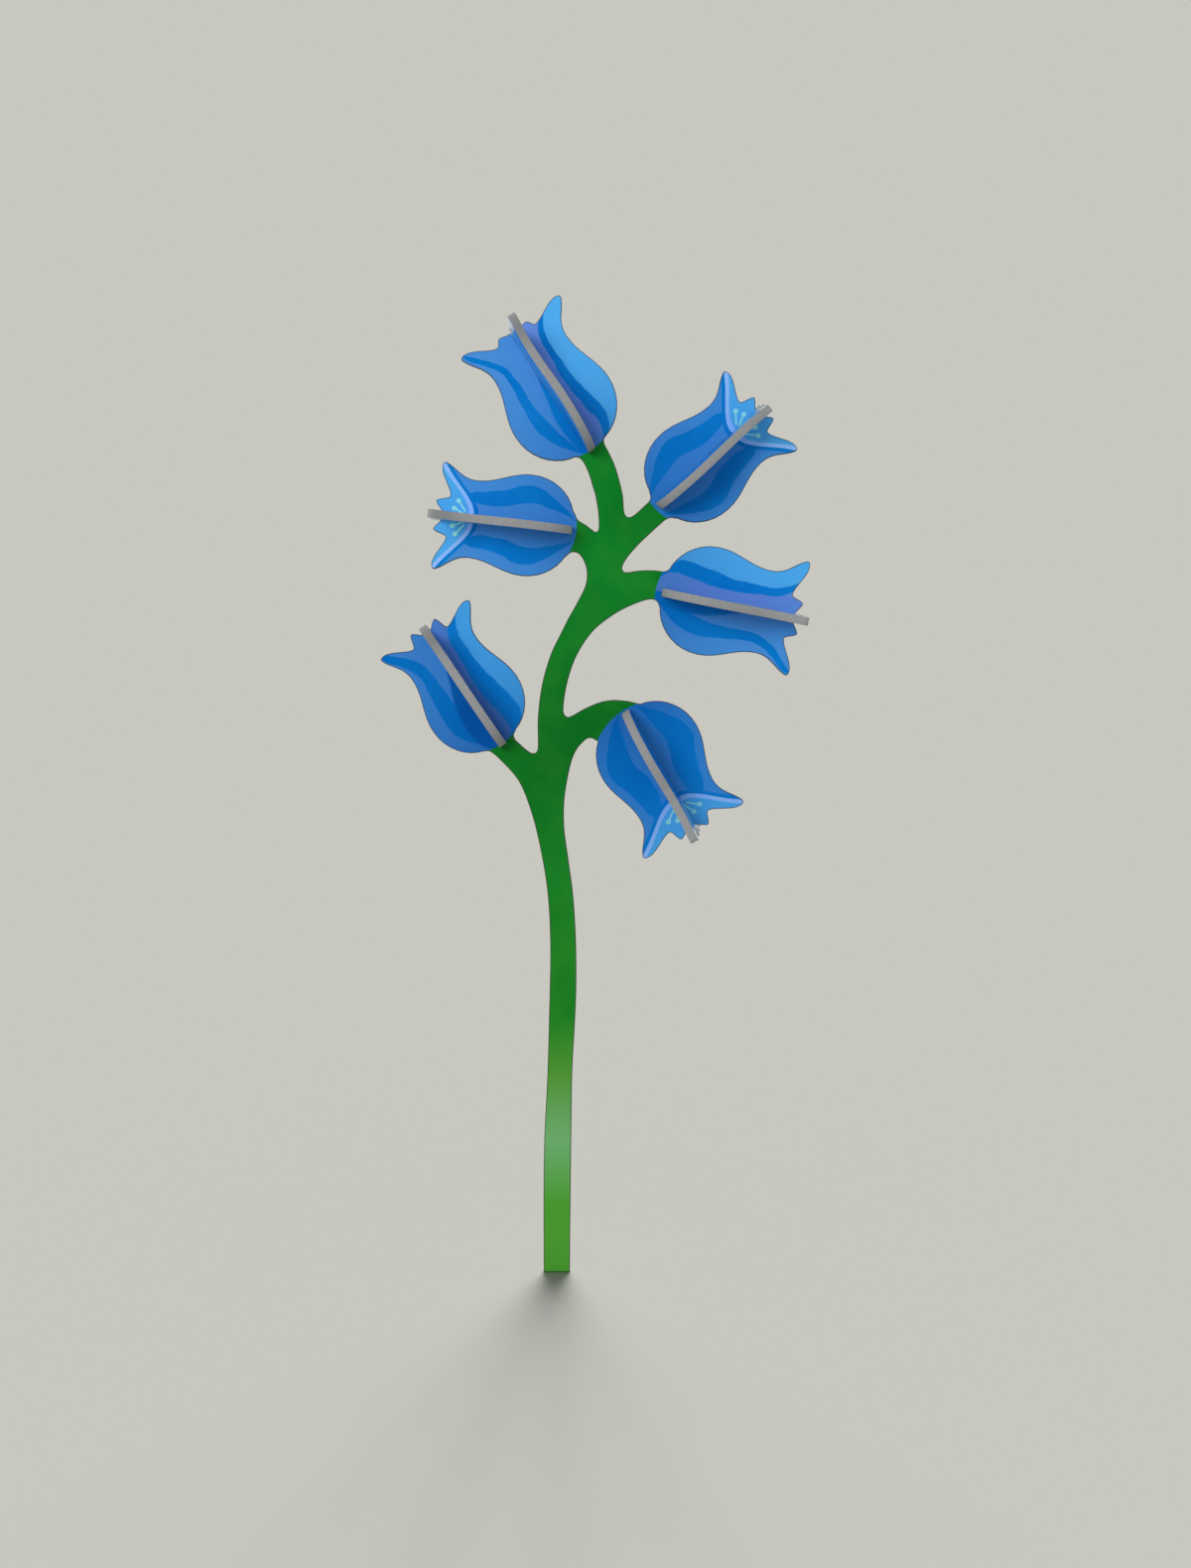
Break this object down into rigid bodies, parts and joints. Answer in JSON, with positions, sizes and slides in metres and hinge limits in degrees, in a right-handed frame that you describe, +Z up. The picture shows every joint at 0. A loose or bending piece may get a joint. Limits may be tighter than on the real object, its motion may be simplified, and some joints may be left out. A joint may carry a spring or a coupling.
{
  "type": "bellflower ornament",
  "caption": "Flat sheet-metal bellflower ornament: a slim green stem branches to blue bell flowers, each given body by a matching petal plate slotted across it.",
  "frame": {"origin": "middle of the stem's square-cut foot, halfway through the sheet's thickness", "axes": "+Z up the stem, -Y out of the painted front face, +X to the right seen from the front"},
  "size_m": [0.2076, 0.0572, 0.4726],
  "materials": {
    "green_paint": "satin enamel on steel sheet, bare at the cut edges",
    "blue_paint": "glossy enamel on steel sheet, bare at the cut edges"
  },
  "bodies": {
    "sheet": {"flower_sheet": "green_paint"},
    "top_left_cross": {"top_left_cross_petal": "blue_paint"},
    "upper_right_cross": {"upper_right_cross_petal": "blue_paint"},
    "middle_left_cross": {"middle_left_cross_petal": "blue_paint"},
    "middle_right_cross": {"middle_right_cross_petal": "blue_paint"},
    "lower_left_cross": {"lower_left_cross_petal": "blue_paint"},
    "lower_right_cross": {"lower_right_cross_petal": "blue_paint"}
  },
  "joints": [
    {"name": "top_left_slide", "type": "slide", "parent": "sheet", "child": "top_left_cross", "axis": [-0.5417, 0, 0.8406], "range_m": [0, 0.078]},
    {"name": "upper_right_slide", "type": "slide", "parent": "sheet", "child": "upper_right_cross", "axis": [0.7349, 0, 0.6782], "range_m": [0, 0.075]},
    {"name": "middle_left_slide", "type": "slide", "parent": "sheet", "child": "middle_left_cross", "axis": [-0.9936, 0, 0.1132], "range_m": [0, 0.13]},
    {"name": "middle_right_slide", "type": "slide", "parent": "sheet", "child": "middle_right_cross", "axis": [0.981, 0, -0.1942], "range_m": [0, 0.075]},
    {"name": "lower_left_slide", "type": "slide", "parent": "sheet", "child": "lower_left_cross", "axis": [-0.5621, 0, 0.8271], "range_m": [0, 0.075]},
    {"name": "lower_right_slide", "type": "slide", "parent": "sheet", "child": "lower_right_cross", "axis": [0.4924, 0, -0.8704], "range_m": [0, 0.075]}
  ]
}
